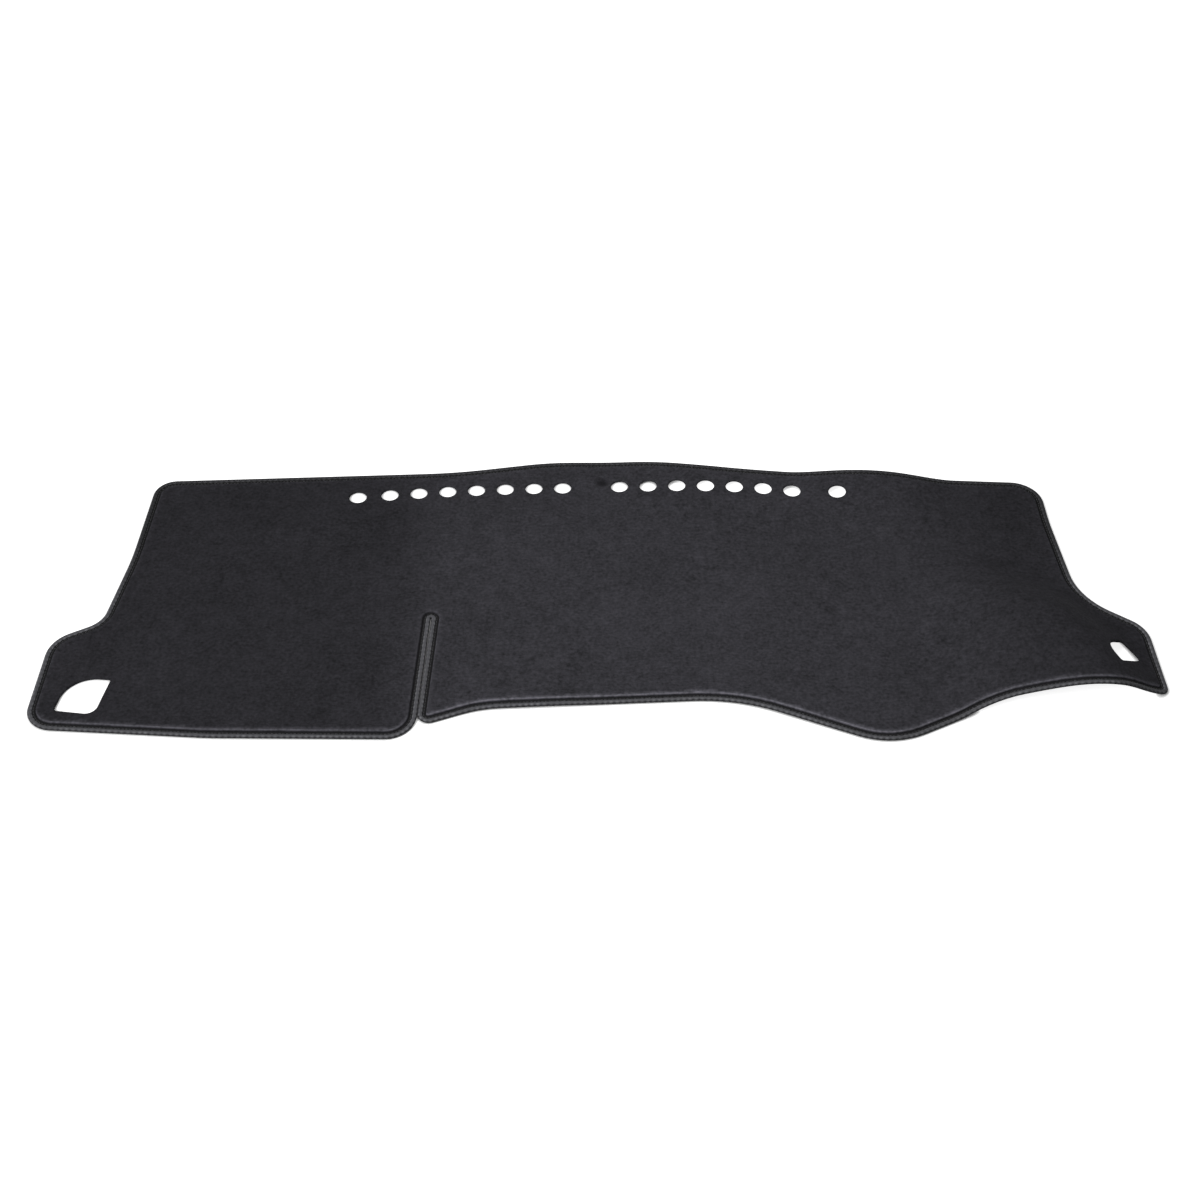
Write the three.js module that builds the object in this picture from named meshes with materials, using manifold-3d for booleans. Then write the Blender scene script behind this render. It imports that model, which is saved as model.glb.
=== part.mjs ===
// Dashboard cover mat: one sheet of thick needle-punched felt, cut to the plan of a dashboard,
// with a woven tape folded over its whole edge and round the slit.
// Millimetres. X runs along the dashboard, Y points to the windscreen, Z is up.
// The plan is drawn from a point near the middle of the dashboard, and the finished mat is
// then centred, so its origin is at the middle of its underside. The mat lies on a flat
// surface, where its right end stands up in a fold and its back edge lifts a little.

import * as THREE from 'three';
import { mergeVertices } from 'three/addons/utils/BufferGeometryUtils.js';
import Module from 'manifold-3d';

const wasm = await Module();
wasm.setup();

// The felt and its edge tape
const feltThickness = 4.3;
const tapeThickness = 0.7;
const tapeWidth = 10;
const tapeCorner = 1;
const clearance = 0.3;
const feltUnderTape = 12.5;

// Plan of the mat, with each place measured from the point that it is drawn from
const leftEnd = -709.5;
const rightEnd = 709.5;
const backMiddle = 256;
const backMiddleHalf = 72;
const backQuarter = 233.5;
const backQuarterHalf = 205;
const backSlope = 222.5;
const backSlopeX = 400;
const backCornerLeft = 215;
const backCornerRight = 211.5;
const backCornerHalf = 617;
const backCornerShift = -4;
const backCornerRadiusLeft = 30;
const backCornerRadiusRight = 42;
const kneeOutLeft = 7.5;
const kneeLeft = 60;
const kneeOutRight = 2;
const kneeRight = 130;
const waistOutLeft = 17;
const waistLeft = -60;
const waistOutRight = 13;
const waistRight = -14;
const shoulderLeft = -93;
const shoulderRight = -70;
const shoulderInset = 3.5;
const frontLeft = -242;
const frontLeftMiddle = -256.5;
const frontLeftMiddleX = -480;
const frontSlit = -258.5;
const ledgeLeft = -209.5;
const ledgeLeftX = -150;
const ledgeRight = -193;
const ledgeRightX = 168;
const bulgeFront = -270;
const bulgeX = 356;
const tuckFront = -204;
const tuckX = 490;
const liftedFront = -209.5;
const liftedX = 628;
const frontRight = -185;

// The slit between the left panel and the right one
const slitMouthX = -227;
const slitMouth = -239;
const slitEndX = -220;
const slitEnd = -53;
const slitGap = 0.8;

// The round holes over the defroster outlets, in two rows along the back edge. The last hole
// of each row stands further off.
const holeDiameter = 24;
const holePitch = 40;
const rowBend = 0.00018;
const leftRowStart = -53;
const leftRowCount = 7;
const leftRowY = 202.5;
const leftEndPitch = 44;
const rightRowStart = 26.5;
const rightRowCount = 7;
const rightRowY = 204.3;
const rightEndPitch = 62;

// The leaf-shaped holes over the side vents. The right one is mirrored, and turned by degrees.
const leftLeaf = { x: -645.5, y: -188, width: 62, height: 60, turn: 0, side: 1 };
const rightLeaf = { x: 658.2, y: -128.8, width: 43.5, height: 41, turn: 114, side: -1 };

// The fold at the right end: a hill with a circular foot, steep outside and gentle inside
const foldX = 399;
const foldY = -227;
const foldFoot = 320;
const foldSteepWidth = 100;
const foldInner = 30;
const foldHeight = 46;
const foldFacing = -15;
const foldFullAngle = 50;
const foldFadeAngle = 57;

// The lift of the back edge: two low swellings, each an ellipse in plan
const longSwell = { x: 185, y: 222, halfLength: 200, halfWidth: 135, height: 7 };
const shortSwell = { x: 378, y: 222, halfLength: 120, halfWidth: 135, height: 14 };

// How finely curves are followed
const arcStep = THREE.MathUtils.degToRad(15);
const longestArcChord = 30;
const bentStep = 9;
const foldGrid = 14;
const swellGrid = 30;
const holeSides = 20;
const gridMargin = 40;

// Smooth step from 0 to 1, level at both ends
function ease(t) {
  const u = THREE.MathUtils.clamp(t, 0, 1);
  return u * u * (3 - 2 * u);
}

// Height of the fold: its full height on a circle inside the foot, fading all round
function foldLift(x, y) {
  const radius = Math.hypot(x - foldX, y - foldY);
  const turn = THREE.MathUtils.radToDeg(Math.atan2(y - foldY, x - foldX)) - foldFacing;
  const around = 1 - ease((Math.abs(turn) - foldFullAngle) / foldFadeAngle);
  const crest = foldFoot - foldSteepWidth;
  const outside = ease((foldFoot - radius) / foldSteepWidth);
  const inside = ease((radius - foldInner) / (crest - foldInner));
  return foldHeight * around * (radius > crest ? outside : inside);
}

// Height of one low swelling: a rounded heap over an ellipse
function swellLift(swell, x, y) {
  const across = (x - swell.x) / swell.halfLength;
  const along = (y - swell.y) / swell.halfWidth;
  const rest = Math.max(0, 1 - across * across - along * along);
  return swell.height * rest * rest;
}

// Height of the underside of the felt over the floor
function lift(x, y) {
  return foldLift(x, y) + swellLift(longSwell, x, y) + swellLift(shortSwell, x, y);
}

// How much longer an upright cut through the felt is than its true thickness
function stretch(x, y) {
  const d = 1;
  const dx = (lift(x + d, y) - lift(x - d, y)) / (2 * d);
  const dy = (lift(x, y + d) - lift(x, y - d)) / (2 * d);
  return Math.sqrt(1 + dx * dx + dy * dy);
}

// A closed line through corners [x, y, radius], run anticlockwise with each corner rounded.
// Each station keeps its place and its unit normal to the left, which is the inside.
function roundedLine(corners) {
  const stations = [];
  corners.forEach(([x, y, radius], i) => {
    const corner = new THREE.Vector2(x, y);
    const [ax, ay] = corners[(i + corners.length - 1) % corners.length];
    const [bx, by] = corners[(i + 1) % corners.length];
    const arriving = corner.clone().sub(new THREE.Vector2(ax, ay)).normalize();
    const leaving = new THREE.Vector2(bx, by).sub(corner).normalize();
    const turn = Math.atan2(arriving.cross(leaving), arriving.dot(leaving));
    const side = Math.sign(turn);
    const left = new THREE.Vector2(-arriving.y, arriving.x);
    const start = corner.clone().addScaledVector(arriving, -radius * Math.tan(Math.abs(turn) / 2));
    const centre = start.clone().addScaledVector(left, side * radius);
    const pieces = Math.abs(turn) / Math.min(arcStep, longestArcChord / radius);
    const count = Math.max(1, Math.ceil(pieces));
    for (let k = 0; k <= count; k += 1) {
      const normal = left.clone().rotateAround(new THREE.Vector2(), (turn * k) / count);
      const place = centre.clone().addScaledVector(normal, -side * radius);
      stations.push({ place, normal });
    }
  });
  return stations;
}

// Adds stations to the stretches where the margin of the mat is lifted from the floor
function followLift(stations) {
  const all = [];
  stations.forEach((from, i) => {
    const to = stations[(i + 1) % stations.length];
    const count = Math.ceil(from.place.distanceTo(to.place) / bentStep);
    const between = Array.from({ length: count + 1 }, (_, k) => ({
      place: from.place.clone().lerp(to.place, k / count),
      normal: from.normal.clone().lerp(to.normal, k / count).normalize(),
    }));
    const lifted = between.map(({ place, normal }) => {
      const inner = place.clone().addScaledVector(normal, feltUnderTape);
      return lift(place.x, place.y) + lift(inner.x, inner.y) > 0;
    });
    all.push(from);
    for (let k = 1; k < count; k += 1) {
      if (lifted[k - 1] || lifted[k] || lifted[k + 1]) all.push(between[k]);
    }
  });
  return all;
}

// Moves a line inwards by a distance and returns its points
function inset(stations, distance) {
  return stations.map(({ place, normal }) => place.clone().addScaledVector(normal, distance));
}

// Sweeps a section [inset, height] along the closed edge of the mat. The section stays
// upright, rises with the lift of the mat and leans with its slope towards the inside.
function sweepEdge(stations, section) {
  const positions = [];
  stations.forEach(({ place, normal }) => {
    const inner = place.clone().addScaledVector(normal, tapeWidth);
    const edgeLift = lift(place.x, place.y);
    const innerLift = lift(inner.x, inner.y);
    const middle = place.clone().lerp(inner, 0.5);
    const tall = stretch(middle.x, middle.y);
    section.forEach(([distance, height]) => {
      const p = place.clone().addScaledVector(normal, distance);
      const slope = THREE.MathUtils.lerp(edgeLift, innerLift, distance / tapeWidth);
      positions.push(p.x, p.y, slope + height * tall);
    });
  });
  const n = section.length;
  const indices = [];
  stations.forEach((_, i) => {
    const here = i * n;
    const next = ((i + 1) % stations.length) * n;
    section.forEach((__, j) => {
      const k = (j + 1) % n;
      indices.push(here + j, next + k, next + j, here + j, here + k, next + k);
    });
  });
  const geometry = new THREE.BufferGeometry();
  geometry.setAttribute('position', new THREE.Float32BufferAttribute(positions, 3));
  geometry.setIndex(indices);
  return geometry;
}

// Turns a closed geometry into a solid for cutting and joining
function solid(geometry) {
  const clean = geometry.clone();
  clean.deleteAttribute('normal');
  clean.deleteAttribute('uv');
  const merged = mergeVertices(clean);
  return new wasm.Manifold(new wasm.Mesh({
    numProp: 3,
    vertProperties: new Float32Array(merged.attributes.position.array),
    triVerts: new Uint32Array(merged.index.array),
  }));
}

// Turns a solid back into a geometry with flat facets
function facets(body) {
  const mesh = body.getMesh();
  const geometry = new THREE.BufferGeometry();
  geometry.setAttribute('position', new THREE.Float32BufferAttribute(mesh.vertProperties, 3));
  geometry.setIndex(Array.from(mesh.triVerts));
  const flat = geometry.toNonIndexed();
  flat.computeVertexNormals();
  return flat;
}

// Grid lines from one place to another, no further apart than a step
function gridLines(from, to, step) {
  const count = Math.max(1, Math.ceil((to - from) / step));
  return Array.from({ length: count + 1 }, (_, k) => THREE.MathUtils.lerp(from, to, k / count));
}

// A slab that follows the lift of the mat at its true thickness, larger than the mat
function bentSlab(xs, ys) {
  const positions = [];
  const columns = xs.length;
  const rows = ys.length;
  for (const upper of [0, 1]) {
    for (const y of ys) {
      for (const x of xs) {
        positions.push(x, y, lift(x, y) + upper * feltThickness * stretch(x, y));
      }
    }
  }
  const at = (upper, row, column) => (upper * rows + row) * columns + column;
  const indices = [];
  const quad = (a, b, c, d) => indices.push(a, b, c, a, c, d);
  for (let j = 0; j < rows - 1; j += 1) {
    for (let i = 0; i < columns - 1; i += 1) {
      quad(at(1, j, i), at(1, j, i + 1), at(1, j + 1, i + 1), at(1, j + 1, i));
      quad(at(0, j, i), at(0, j + 1, i), at(0, j + 1, i + 1), at(0, j, i + 1));
    }
  }
  for (let i = 0; i < columns - 1; i += 1) {
    quad(at(0, 0, i), at(0, 0, i + 1), at(1, 0, i + 1), at(1, 0, i));
    quad(at(0, rows - 1, i + 1), at(0, rows - 1, i), at(1, rows - 1, i), at(1, rows - 1, i + 1));
  }
  for (let j = 0; j < rows - 1; j += 1) {
    quad(at(0, j + 1, 0), at(0, j, 0), at(1, j, 0), at(1, j + 1, 0));
    quad(at(0, j, columns - 1), at(0, j + 1, columns - 1), at(1, j + 1, columns - 1), at(1, j, columns - 1));
  }
  const geometry = new THREE.BufferGeometry();
  geometry.setAttribute('position', new THREE.Float32BufferAttribute(positions, 3));
  geometry.setIndex(indices);
  return geometry;
}

// An upright cutter of a plan outline, tall enough for the whole mat
function cutter(points, holes = []) {
  const shape = new THREE.Shape(points);
  shape.holes = holes.map((hole) => new THREE.Path(hole));
  const reach = foldHeight + shortSwell.height + longSwell.height + 2 * feltThickness;
  const geometry = new THREE.ExtrudeGeometry(shape, { depth: 2 * reach, bevelEnabled: false });
  geometry.translate(0, 0, -reach / 2);
  return geometry;
}

// Plan outline of the mat, anticlockwise from its back left corner
function matOutline() {
  const cornerLeftX = backCornerShift - backCornerHalf;
  const cornerRightX = backCornerShift + backCornerHalf;
  const kneeLeftX = cornerLeftX - kneeOutLeft;
  const kneeRightX = cornerRightX + kneeOutRight;
  return roundedLine([
    [cornerLeftX, backCornerLeft, backCornerRadiusLeft],
    [kneeLeftX, kneeLeft, 500],
    [kneeLeftX - waistOutLeft, waistLeft, 36],
    [leftEnd + shoulderInset, shoulderLeft, 44],
    [leftEnd, frontLeft, 36],
    [frontLeftMiddleX, frontLeftMiddle, 500],
    [slitMouthX - slitGap / 2, frontSlit, 38],
    [slitEndX - slitGap / 2, slitEnd, slitGap / 2],
    [slitEndX + slitGap / 2, slitEnd, slitGap / 2],
    [slitMouthX + slitGap / 2, slitMouth, 14],
    [ledgeLeftX, ledgeLeft, 150],
    [ledgeRightX, ledgeRight, 240],
    [bulgeX, bulgeFront, 100],
    [tuckX, tuckFront, 130],
    [liftedX, liftedFront, 70],
    [rightEnd, frontRight, 14],
    [rightEnd - shoulderInset, shoulderRight, 44],
    [kneeRightX + waistOutRight, waistRight, 95],
    [kneeRightX, kneeRight, 500],
    [cornerRightX, backCornerRight, backCornerRadiusRight],
    [backSlopeX, backSlope, 700],
    [backQuarterHalf, backQuarter, 700],
    [backMiddleHalf, backMiddle, 400],
    [-backMiddleHalf, backMiddle, 400],
    [-backQuarterHalf, backQuarter, 700],
  ]);
}

// Round hole as a ring of points about its centre
function roundHole(x, y) {
  return Array.from({ length: holeSides }, (_, k) => {
    const angle = (2 * Math.PI * k) / holeSides;
    const reach = holeDiameter / 2;
    return new THREE.Vector2(x + reach * Math.cos(angle), y + reach * Math.sin(angle));
  });
}

// Centres of all round holes: two evenly spaced rows, each with one hole further out
function holeCentres() {
  const bend = (x) => -rowBend * x * x;
  const centres = [];
  for (let k = 0; k < leftRowCount; k += 1) {
    const x = leftRowStart - k * holePitch;
    centres.push([x, leftRowY + bend(x)]);
  }
  const leftEndHoleX = leftRowStart - (leftRowCount - 1) * holePitch - leftEndPitch;
  centres.push([leftEndHoleX, leftRowY + bend(leftEndHoleX)]);
  for (let k = 0; k < rightRowCount; k += 1) {
    const x = rightRowStart + k * holePitch;
    centres.push([x, rightRowY + bend(x)]);
  }
  const rightEndHoleX = rightRowStart + (rightRowCount - 1) * holePitch + rightEndPitch;
  centres.push([rightEndHoleX, rightRowY + bend(rightEndHoleX)]);
  return centres;
}

// Leaf-shaped hole: two sharp corners on one diagonal, two round ones on the other, whose
// radii keep their share of the hole's mean size
function leafHole({ x, y, width, height, turn, side }) {
  const w = (side * width) / 2;
  const h = height / 2;
  const size = (width + height) / 2;
  const leaf = roundedLine([
    [-w, -0.83 * h, 0.08 * size],
    [0.68 * w, -1.08 * h, 0.23 * size],
    [w, 0.92 * h, 0.065 * size],
    [-0.71 * w, 1.07 * h, 0.66 * size],
  ]);
  const centre = new THREE.Vector2(x, y);
  const angle = THREE.MathUtils.degToRad(turn);
  return leaf.map(({ place }) => place.rotateAround(new THREE.Vector2(), angle).add(centre));
}

// Section of the felt where the tape pinches it: [inset, height]
function pinchedSection() {
  const skin = tapeThickness + clearance;
  return [
    [skin, skin],
    [feltUnderTape, skin],
    [feltUnderTape, feltThickness - skin],
    [skin, feltThickness - skin],
  ];
}

// Section of the folded tape, blunt on the outside and open to the felt
function tapeSection() {
  const t = tapeThickness;
  const top = feltThickness;
  const corner = tapeCorner;
  return [
    [tapeWidth, 0],
    [tapeWidth, t],
    [t, t],
    [t, top - t],
    [tapeWidth, top - t],
    [tapeWidth, top],
    [corner, top],
    [0, top - corner],
    [0, corner],
    [corner, 0],
  ];
}

const edge = followLift(matOutline());

// Felt sheet: the bent slab cut to the line inside the tape, with every hole, joined to the
// thinner margin that the tape holds.
function feltSheet() {
  const foldLeft = foldX + foldInner - foldGrid;
  const swellLeft = longSwell.x - longSwell.halfLength;
  const xs = [
    leftEnd - gridMargin,
    ...gridLines(swellLeft, foldLeft, swellGrid),
    ...gridLines(foldLeft, rightEnd + gridMargin, foldGrid).slice(1),
  ];
  const swellFront = longSwell.y - longSwell.halfWidth;
  const ys = [
    ...gridLines(bulgeFront - gridMargin, swellFront, foldGrid),
    ...gridLines(swellFront, backMiddle + gridMargin, swellGrid).slice(1),
  ];
  const holes = holeCentres().map(([x, y]) => roundHole(x, y));
  holes.push(leafHole(leftLeaf), leafHole(rightLeaf));
  const inside = inset(edge, tapeWidth + clearance);
  const field = solid(bentSlab(xs, ys)).intersect(solid(cutter(inside, holes)));
  return facets(field.add(solid(sweepEdge(edge, pinchedSection()))));
}

function edgeBinding() {
  return facets(solid(sweepEdge(edge, tapeSection())));
}

function piece(name, geometry, colour, roughness) {
  const material = new THREE.MeshStandardMaterial({ color: colour, roughness, metalness: 0 });
  const mesh = new THREE.Mesh(geometry, material);
  mesh.name = name;
  return mesh;
}

const middle = new THREE.Box2().setFromPoints(inset(edge, 0)).getCenter(new THREE.Vector2());
const mat = new THREE.Group();
mat.add(piece('felt_sheet', feltSheet(), 0x343438, 0.95));
mat.add(piece('edge_binding', edgeBinding(), 0x1d1d20, 0.85));
mat.position.set(-middle.x, -middle.y, 0);

export default mat;
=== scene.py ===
# %% [markdown]
# # A felt dashboard mat, in Blender
#
# The object is one sheet of thick needle-punched felt, cut to the plan of a car's dashboard.
# A black woven tape is folded over its whole edge and sewn down with one line of lockstitch.
# The felt was rolled up for sale, so it doesn't lie quite flat: its right end stands up in a
# fold, its back edge lifts a little, and soft waves run over the rest.
#
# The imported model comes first. It gives the size and place that every piece has to keep.

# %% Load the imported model
import math

import bpy
import numpy as np
from mathutils.geometry import delaunay_2d_cdt
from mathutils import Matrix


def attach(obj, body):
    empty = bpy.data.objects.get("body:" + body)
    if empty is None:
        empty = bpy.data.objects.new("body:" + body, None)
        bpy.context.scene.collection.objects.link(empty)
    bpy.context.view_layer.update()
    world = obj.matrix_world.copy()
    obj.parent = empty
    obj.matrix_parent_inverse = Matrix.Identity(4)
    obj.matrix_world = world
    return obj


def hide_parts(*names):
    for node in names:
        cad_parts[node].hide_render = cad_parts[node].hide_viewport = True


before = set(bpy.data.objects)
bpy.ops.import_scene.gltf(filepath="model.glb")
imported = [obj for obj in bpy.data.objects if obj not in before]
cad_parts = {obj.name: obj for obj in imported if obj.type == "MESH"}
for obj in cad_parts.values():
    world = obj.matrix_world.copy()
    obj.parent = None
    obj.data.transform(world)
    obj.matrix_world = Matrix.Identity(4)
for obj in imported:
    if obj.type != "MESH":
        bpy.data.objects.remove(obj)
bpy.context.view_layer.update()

# %% [markdown]
# ## Working units
#
# Felt and tape are measured in millimetres, and Blender works in metres. All the shapes below
# are worked out in millimetres and turned to metres once, when a mesh is made.

# %% Unit, thickness of the felt, and how far in from the edge the seam runs
MM = 0.001
FELT_THICK = 4.3
SEAM_IN = 7.4

# %% [markdown]
# ## The plan of the mat
#
# A pattern cutter draws this mat with straight lines and rounds every corner with a radius.
# The same is done here: each corner has a place and a radius, and a function swaps it for an
# arc. A denser curve than the CAD outline's gives the tape a smooth edge. The slit is two
# lines less than a millimetre apart, so its two folds of tape nearly touch.

# %% Corners of the outline, [x, y, radius] in mm
BACK_LEFT = -621.0
BACK_RIGHT = 613.0
KNEE_LEFT = BACK_LEFT - 7.5
KNEE_RIGHT = BACK_RIGHT + 2.0
SLIT_HALF = 0.4
OUTLINE = np.array([
    [BACK_LEFT, 215, 30], [KNEE_LEFT, 60, 500], [KNEE_LEFT - 17, -60, 36],
    [-706, -93, 44], [-709.5, -242, 36], [-480, -256.5, 500],
    [-227 - SLIT_HALF, -258.5, 38], [-220 - SLIT_HALF, -53, SLIT_HALF],
    [-220 + SLIT_HALF, -53, SLIT_HALF], [-227 + SLIT_HALF, -239, 14],
    [-150, -209.5, 150], [168, -193, 240], [356, -270, 100], [490, -204, 130],
    [628, -209.5, 70], [709.5, -185, 14], [706, -70, 44], [KNEE_RIGHT + 13, -14, 95],
    [KNEE_RIGHT, 130, 500], [BACK_RIGHT, 211.5, 42], [400, 222.5, 700],
    [205, 233.5, 700], [72, 256, 400], [-72, 256, 400], [-205, 233.5, 700],
])


def rounded_line(corners, arc_step=6.0, chord=12.0):
    """Round each corner [x, y, radius] of a closed line. A corner's arc starts at the corner
    minus radius * tan(half the turn) along the arriving side, and runs about a centre one
    radius to the inside. Gives the points and their unit normals to the left."""
    places, normals = [], []
    for i, (x, y, radius) in enumerate(corners):
        here = np.array([x, y])
        arriving = here - corners[i - 1][:2]
        leaving = corners[(i + 1) % len(corners)][:2] - here
        arriving = arriving / np.linalg.norm(arriving)
        leaving = leaving / np.linalg.norm(leaving)
        cross = arriving[0] * leaving[1] - arriving[1] * leaving[0]
        turn = math.atan2(cross, arriving @ leaving)
        side = math.copysign(1, turn)
        left = np.array([-arriving[1], arriving[0]])
        start = here - arriving * radius * math.tan(abs(turn) / 2)
        centre = start + left * side * radius
        step = min(math.radians(arc_step), chord / radius)
        count = max(1, math.ceil(abs(turn) / step))
        angles = turn * np.arange(count + 1) / count
        cos, sin = np.cos(angles), np.sin(angles)
        normal = np.stack([left[0] * cos - left[1] * sin, left[0] * sin + left[1] * cos], 1)
        places.append(centre - normal * side * radius)
        normals.append(normal)
    return np.concatenate(places), np.concatenate(normals)


def even_steps(places, normals, step):
    """Drop points that fall on the one before, as where two arcs meet, and add points along
    the straight stretches of a closed line, no further apart than step."""
    apart = np.linalg.norm(places - np.roll(places, 1, 0), axis=1) > 0.01
    places, normals = places[apart], normals[apart]
    after, after_normal = np.roll(places, -1, 0), np.roll(normals, -1, 0)
    counts = np.maximum(1, np.ceil(np.linalg.norm(after - places, axis=1) / step)).astype(int)
    index = np.repeat(np.arange(len(places)), counts)
    first = np.repeat(np.cumsum(counts) - counts, counts)
    t = ((np.arange(len(index)) - first) / counts[index])[:, None]
    normal = normals[index] * (1 - t) + after_normal[index] * t
    normal = normal / np.linalg.norm(normal, axis=1, keepdims=True)
    return places[index] * (1 - t) + after[index] * t, normal


corner_line = rounded_line(OUTLINE)
cad_line, _ = rounded_line(OUTLINE, arc_step=15.0, chord=30.0)
middle = (cad_line.min(0) + cad_line.max(0)) / 2
edge, edge_in = even_steps(*corner_line, step=4.0)
print("edge stations:", len(edge), " middle of the plan, mm:", middle.round(2))

# %% [markdown]
# ## Lift from the floor
#
# Height is a function of the place in plan. The fold is a hill whose crest runs along an arc:
# it rises steeply from its outer foot and falls gently inside. Two low heaps lift the back
# edge. Felt and tape both ride on this one function, so they can't drift apart.

# %% Height of the underside over the floor
FOLD_AT = (399.0, -227.0)
FOLD_FOOT, FOLD_STEEP, FOLD_INNER, FOLD_HIGH = 320.0, 100.0, 30.0, 46.0
FOLD_FACING, FOLD_FULL, FOLD_FADE = -15.0, 50.0, 57.0
HEAPS = [(185, 222, 200, 135, 7), (378, 222, 120, 135, 14)]


def ease(t):
    """Smooth step: 3 t^2 - 2 t^3 between 0 and 1."""
    t = np.clip(t, 0, 1)
    return t * t * (3 - 2 * t)


def lift(x, y):
    """Fold height times its fade round the crest times its rise across the crest, plus each
    heap's height times (1 - (x/a)^2 - (y/b)^2)^2."""
    radius = np.hypot(x - FOLD_AT[0], y - FOLD_AT[1])
    turn = np.degrees(np.arctan2(y - FOLD_AT[1], x - FOLD_AT[0])) - FOLD_FACING
    around = 1 - ease((np.abs(turn) - FOLD_FULL) / FOLD_FADE)
    crest = FOLD_FOOT - FOLD_STEEP
    outside = ease((FOLD_FOOT - radius) / FOLD_STEEP)
    inside = ease((radius - FOLD_INNER) / (crest - FOLD_INNER))
    height = FOLD_HIGH * around * np.where(radius > crest, outside, inside)
    for x0, y0, a, b, high in HEAPS:
        height = height + high * np.maximum(0, 1 - ((x - x0) / a) ** 2 - ((y - y0) / b) ** 2) ** 2
    return height


# %% [markdown]
# ## Waves in the felt
#
# Felt that has been rolled keeps soft dents and swells that only show as slow changes of
# light. Each is a rounded heap over a turned ellipse. A wave may only lift the felt, because
# the floor is under it, so dents are made as gaps between swells.

# %% Soft swells: x, y, half length, half width, turn in degrees, height
SWELLS = np.array([
    (-420, 118, 210, 34, 4, 1.6), (-560, -60, 120, 70, 60, 1.6), (-330, -150, 170, 60, -30, 1.3),
    (-60, -120, 150, 90, 78, 2.2), (-140, -160, 90, 60, 10, 2.2), (20, 60, 60, 100, 6, 1.9),
    (150, 40, 70, 120, -8, 1.8), (-170, 80, 100, 50, 20, 1.5), (300, -60, 130, 60, 25, 2.0),
    (420, 120, 110, 45, 8, 2.2), (250, -190, 110, 50, -12, 1.6), (-620, -200, 60, 50, 0, 0.9),
    (520, 40, 80, 60, 40, 1.7), (-260, 20, 90, 60, -40, 1.2), (-500, 60, 90, 50, 0, 1.2),
])


def waves(x, y):
    """Sum of height * (1 - u^2 - v^2)^2 over all swells, u and v along and across each."""
    total = np.zeros_like(x)
    for x0, y0, a, b, turn, high in SWELLS:
        c, s = math.cos(math.radians(turn)), math.sin(math.radians(turn))
        u = ((x - x0) * c + (y - y0) * s) / a
        v = ((y - y0) * c - (x - x0) * s) / b
        total += high * np.maximum(0, 1 - u * u - v * v) ** 2
    return total


def base_height(x, y):
    """Underside of the mat over the floor: the lift and the soft waves."""
    return lift(x, y) + waves(x, y)


def stretch(x, y):
    """Upright thickness over true thickness: the root of 1 plus the slope squared."""
    dx = (base_height(x + 1, y) - base_height(x - 1, y)) / 2
    dy = (base_height(x, y + 1) - base_height(x, y - 1)) / 2
    return np.sqrt(1 + dx * dx + dy * dy)


print("highest underside, mm:", float(base_height(*edge.T).max().round(1)))

# %% [markdown]
# ## Holes
#
# Round holes over the defroster outlets are die-cut in two bent rows of eight. The two
# leaf-shaped holes over the side vents come from the same kind of cutter. Felt is soft, so a
# die leaves each rim a little rounded.

# %% Hole outlines
HOLE_RADIUS = 12.0
ROW_BEND = 0.00018
LEFT_ROW = [-53 - 40 * k for k in range(7)] + [-337]
RIGHT_ROW = [26.5 + 40 * k for k in range(7)] + [328.5]
HOLE_CENTRES = [(x, 202.5 - ROW_BEND * x * x) for x in LEFT_ROW]
HOLE_CENTRES += [(x, 204.3 - ROW_BEND * x * x) for x in RIGHT_ROW]


def leaf(x, y, width, height, turn=0.0, side=1):
    """Leaf outline: two sharp corners on one diagonal, two round ones on the other, with
    radii that keep their share of its mean size. It is mirrored if side is -1, and turned
    about its centre. Gives points and normals outwards."""
    w, h, size = side * width / 2, height / 2, (width + height) / 2
    corners = np.array([[-w, -0.83 * h, 0.08 * size], [0.68 * w, -1.08 * h, 0.23 * size],
                        [w, 0.92 * h, 0.065 * size], [-0.71 * w, 1.07 * h, 0.66 * size]])
    places, normals = rounded_line(corners, arc_step=12, chord=5)
    places, normals = even_steps(places, normals, 3.0)
    c, s = math.cos(math.radians(turn)), math.sin(math.radians(turn))
    rotate = np.array([[c, s], [-s, c]])
    return (places @ rotate + (x, y))[::side], (-side * normals @ rotate)[::side]


def round_hole(x, y, sides=40):
    """Circle of points and its normals outwards, into the felt."""
    angles = 2 * np.pi * np.arange(sides) / sides
    out = np.stack([np.cos(angles), np.sin(angles)], 1)
    return (x, y) + HOLE_RADIUS * out, out


holes = [round_hole(x, y) for x, y in HOLE_CENTRES]
holes.append(leaf(-645.5, -188, 62, 60))
holes.append(leaf(658.2, -128.8, 43.5, 41, turn=114, side=-1))
print("holes:", len(holes))

# %% [markdown]
# ## Points inside a line, and distance to it
#
# Two questions come up again and again: is a point on the felt, and how far is it from the
# edge? Both are answered for whole arrays at once.


# %% Plan helpers
def inside(points, loop):
    """Even-odd rule: a point is inside if a ray to the right crosses the loop an odd number
    of times."""
    odd = np.zeros(len(points), bool)
    x, y = points.T
    for (ax, ay), (bx, by) in zip(loop, np.roll(loop, -1, 0)):
        if ay != by:
            crosses = (ay > y) != (by > y)
            odd ^= crosses & (x < (bx - ax) * (y - ay) / (by - ay) + ax)
    return odd


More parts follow.
